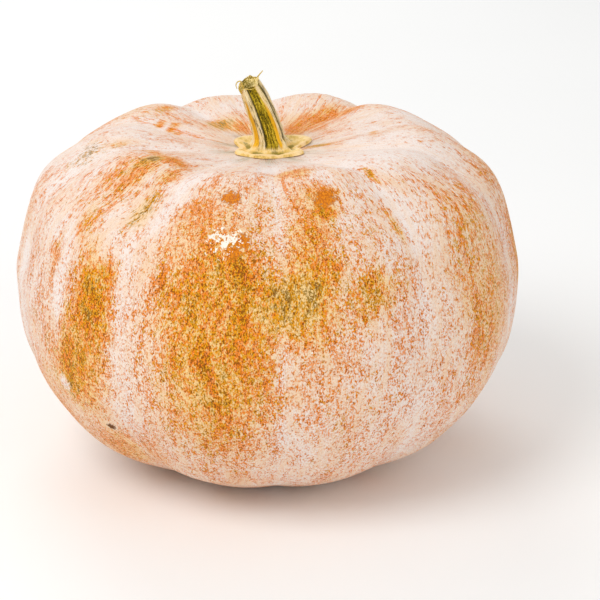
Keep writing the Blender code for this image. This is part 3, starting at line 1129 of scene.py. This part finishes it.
def rind_bareness(tree, noises):
    """The fine flecks and strokes, and with them and the wider noises how bare of bloom each point is."""
    calm = tree.attribute("calm")
    flecked = tree.add(*tree.swings(noises, FLECKED))
    stroked = tree.add(*tree.swings(noises, STROKED))
    fine = tree.blend(tree.times(tree.attribute("streaky"), STROKED_SHARE), flecked, stroked)
    patchy = tree.blend(noises["patches"], *FINE_BY_PATCHES)
    strength = tree.times(tree.blend(calm, 1.0, FINE_IF_CALM), patchy)
    streaked = tree.times(tree.swing(noises["streaks"], 1.0), tree.blend(calm, *STREAKS_PUSH))
    clumped = tree.times(tree.swing(noises["clumps"], 1.0), tree.blend(calm, *CLUMPS_PUSH))
    coarse = tree.add(tree.swing(noises["drifts"], DRIFTS_PUSH), streaked, clumped)
    return fine, tree.add(tree.attribute("bare"), coarse, tree.times(fine, strength))


def ground_colour(tree, noises, level):
    """Pink, orange, ochre and olive by tone, with brown pits where the rind is barest."""
    tint = tree.add(tree.attribute("tone"), *tree.swings(noises, TONE_PUSHES))
    brown = tree.step(tree.add(level, tree.swing(noises["pits"], PITS_PUSH)), *PITS_EDGE)
    return tree.mix(tree.times(brown, PITS_SHARE), tree.ramp(tint, GROUND_RAMP), PIT_BROWN)


def bloom_colour(tree, noises, fine):
    """Chalky where the bloom is thick, warmer where it is thin."""
    bareness = tree.attribute("bare")
    chalk = tree.add(*tree.swings(noises, CHALK_PUSHES), tree.times(fine, CHALK_BY_FINE))
    chalk = tree.add(chalk, tree.times(bareness, CHALK_BY_BARE))
    bloom = tree.mix(tree.step(chalk, *CHALK_EDGE), WARM_BLOOM, PALE_BLOOM)
    return tree.mix(tree.step(bareness, *THIN_EDGE), bloom, THIN_BLOOM)


def seat_and_spots(tree, noises, colour):
    """Grey streaks and painted shade round the stem seat, and small orange spots with a thin dark edge."""
    flecks = noises["flecks"]
    # The grey round the seat, strongest in the furrows, is partly painted shade.
    seat = tree.times(tree.attribute("seat"), tree.step(noises["streaks"], *SEAT_EDGE))
    colour = tree.mix(tree.times(seat, SEAT_SHARE), colour, SEAT_GREY_AND_SHADE)
    cover = tree.add(tree.attribute("spots"), tree.swing(noises["clumps"], SPOTS_PUSH))
    skin = tree.mix(tree.step(flecks, *SPOT_LIGHT_EDGE), SPOT_DARK, SPOT_LIGHT)
    for (push, low, high, share), layer in ((SPOT_RIM, SPOT_EDGE), (SPOT_SKIN, skin)):
        covered = tree.step(tree.add(cover, tree.swing(flecks, push)), low, high)
        colour = tree.mix(tree.times(covered, share), colour, layer)
    return colour


def scab_and_scars(tree, noises, colour):
    """The white cracked scab, the brown blemish and the blossom scar."""
    flecks = noises["flecks"]
    colour = tree.mix(tree.ragged("scab", noises["crust"]), colour, SCAB_WHITE)
    colour = tree.mix(tree.ragged("blemish", flecks), colour, BLEMISH_BROWN)
    return tree.mix(tree.ragged("scar", flecks), colour, SCAR_TAN)


def stem_material():
    """Straw-yellow ridges, green striped faces with dark cracks, a corky tan foot and a torn brown cut."""
    # Painted shade lies in the dark seams beside the shaft's ridges.
    tree = Tree("dry_stem")
    flow = tree.attribute("flow", "Vector")
    shaft = tree.attribute("shaft")
    stripes, wide = (tree.drawn_out(flow, *SHAFT_NOISES[name]) for name in ("stripes", "wide"))
    place = tree.position()
    cork = tree.noise(place, *CORK_NOISE)
    grit = tree.noise(place, *GRIT_NOISE)

    # The foot's olive hollows carry painted shade.
    foot = foot_colour(tree, cork, grit)
    colour = tree.mix(tree.step(shaft, 0.35, 0.85), foot, shaft_colour(tree, stripes, wide, grit))
    torn = tree.ramp(tree.add(cork, tree.swing(grit, 1.3)), CUT_RAMP)
    colour = tree.mix(tree.attribute("cut"), colour, torn)
    colour = tree.mix(tree.times(tree.attribute("pit"), 0.6), colour, CUT_PIT)
    relief = tree.mix(shaft, cork, stripes)
    normal = tree.bump(relief, *CORK_BUMP, tree.bump(grit, *GRIT_BUMP))
    return tree.finish(colour, normal, *STEM_SURFACE)


def foot_colour(tree, cork, grit):
    """Corky tan, paler on the rolled edge, and dark olive with painted shade in the hollows."""
    foot = tree.ramp(tree.add(cork, tree.swing(grit, 0.35)), FOOT_RAMP)
    foot = tree.mix(tree.times(tree.ragged("rolled", cork), 0.7), foot, FOOT_ROLLED)
    # Painted shade, mixed with the hollows' own olive, darkens the foot between its rolled edge and the
    # shaft.
    hollow = tree.add(tree.attribute("hollow"), tree.swing(cork, 1.4), tree.swing(grit, 0.5))
    hollow_shade = tree.step(hollow, 0.40, 0.85)
    return tree.mix(tree.times(hollow_shade, 0.85), foot, FOOT_OLIVE_AND_SHADE)


def shaft_colour(tree, stripes, wide, grit):
    """Straw, with green faces, amber flanks, dark cracks, and dark seams that are partly painted shade."""
    green = tree.ramp(tree.add(stripes, tree.swing(grit, 0.45)), GREEN_RAMP)
    body = tree.mix(tree.ragged("green", wide), tree.ramp(stripes, STRAW_RAMP), green)
    body = tree.mix(tree.ragged("amber", wide), body, tree.ramp(stripes, AMBER_RAMP))
    cracks_and_shade = tree.times(tree.step(stripes, 0.44, 0.36), tree.step(wide, 0.44, 0.58))
    # The seams beside the ridges, partly painted shade, join the cracks.
    cracks_and_shade = tree.math("MAXIMUM", cracks_and_shade, tree.ragged("seam_and_shade", stripes))
    return tree.mix(tree.times(cracks_and_shade, 0.9), body, CRACK_AND_SHADE_BLACK)


def fibre_material():
    """Pale green-yellow torn fibres, darker in fine lines along them."""
    tree = Tree("torn_fibre")
    place = tree.position()
    grain = tree.noise(place, *FIBRE_NOISE)
    colour = tree.ramp(grain, FIBRE_RAMP)
    return tree.finish(colour, tree.bump(grain, *FIBRE_BUMP), *FIBRE_SURFACE)


def floor_material():
    """Nearly white, with the faintest grain."""
    tree = Tree("studio_floor")
    place = tree.position()
    colour = tree.ramp(tree.noise(place, *FLOOR_NOISE), FLOOR_RAMP)
    grain = tree.noise(place, *FLOOR_GRAIN)
    return tree.finish(colour, tree.bump(grain, *FLOOR_BUMP), *FLOOR_SURFACE)


def make_camera():
    middle = Vector((0.0, 0.0, MIDDLE_HEIGHT))
    back = Vector((0.0, -math.cos(CAMERA_ELEVATION), math.sin(CAMERA_ELEVATION)))
    up = Vector((0.0, math.sin(CAMERA_ELEVATION), math.cos(CAMERA_ELEVATION)))
    metres_per_px = CAMERA_DISTANCE / FOCAL_PX
    right = Vector((1.0, 0.0, 0.0))
    aim = middle - right * (MIDDLE_RIGHT_PX * metres_per_px) - up * (MIDDLE_UP_PX * metres_per_px)
    data = bpy.data.cameras.new("camera")
    data.sensor_width = SENSOR_WIDTH_MM
    data.lens = FOCAL_PX / IMAGE_WIDTH_PX * SENSOR_WIDTH_MM
    data.clip_end = CAMERA_REACH
    camera = add_object("camera", data)
    point_from(camera, middle + back * CAMERA_DISTANCE, aim)
    bpy.context.scene.camera = camera


def point_from(obj, location, target):
    """Puts a camera or light at the location, and points it at the target."""
    obj.location = location
    obj.rotation_mode = "QUATERNION"
    obj.rotation_quaternion = (target - obj.location).to_track_quat("-Z", "Y")


def make_light(name, location, size, watts):
    data = bpy.data.lights.new(name, "AREA")
    data.shape = "DISK"
    data.size = size
    data.energy = watts
    point_from(add_object(name, data), location, Vector((0.0, 0.0, MIDDLE_HEIGHT)))


def make_studio():
    half = FLOOR_SIZE / 2.0
    corners = [(-half, -half, 0.0), (half, -half, 0.0), (half, half, 0.0), (-half, half, 0.0)]
    mesh = bpy.data.meshes.new("floor")
    mesh.from_pydata(corners, [], [(0, 1, 2, 3)])
    mesh.materials.append(floor_material())
    add_object("floor", mesh)

    for name, light in LIGHTS.items():
        make_light(name, *light)

    world = bpy.data.worlds.new("studio")
    world.use_nodes = True
    background = world.node_tree.nodes["Background"]
    background.inputs["Color"].default_value = (1.0, 1.0, 1.0, 1.0)
    background.inputs["Strength"].default_value = SKY_STRENGTH
    bpy.context.scene.world = world
    bpy.context.scene.view_settings.view_transform = "Standard"


def main():
    fruit = make_fruit()
    fruit.data.materials.append(rind_material())
    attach(fruit, "root")
    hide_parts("fruit")

    stem, fibres = make_stem()
    stem.data.materials.append(stem_material())
    fibre_look = fibre_material()
    for fibre in fibres:
        fibre.data.materials.append(fibre_look)
    for piece in (stem, *fibres):
        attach(piece, "root")
        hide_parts("stem")

    make_studio()
    make_camera()


main()
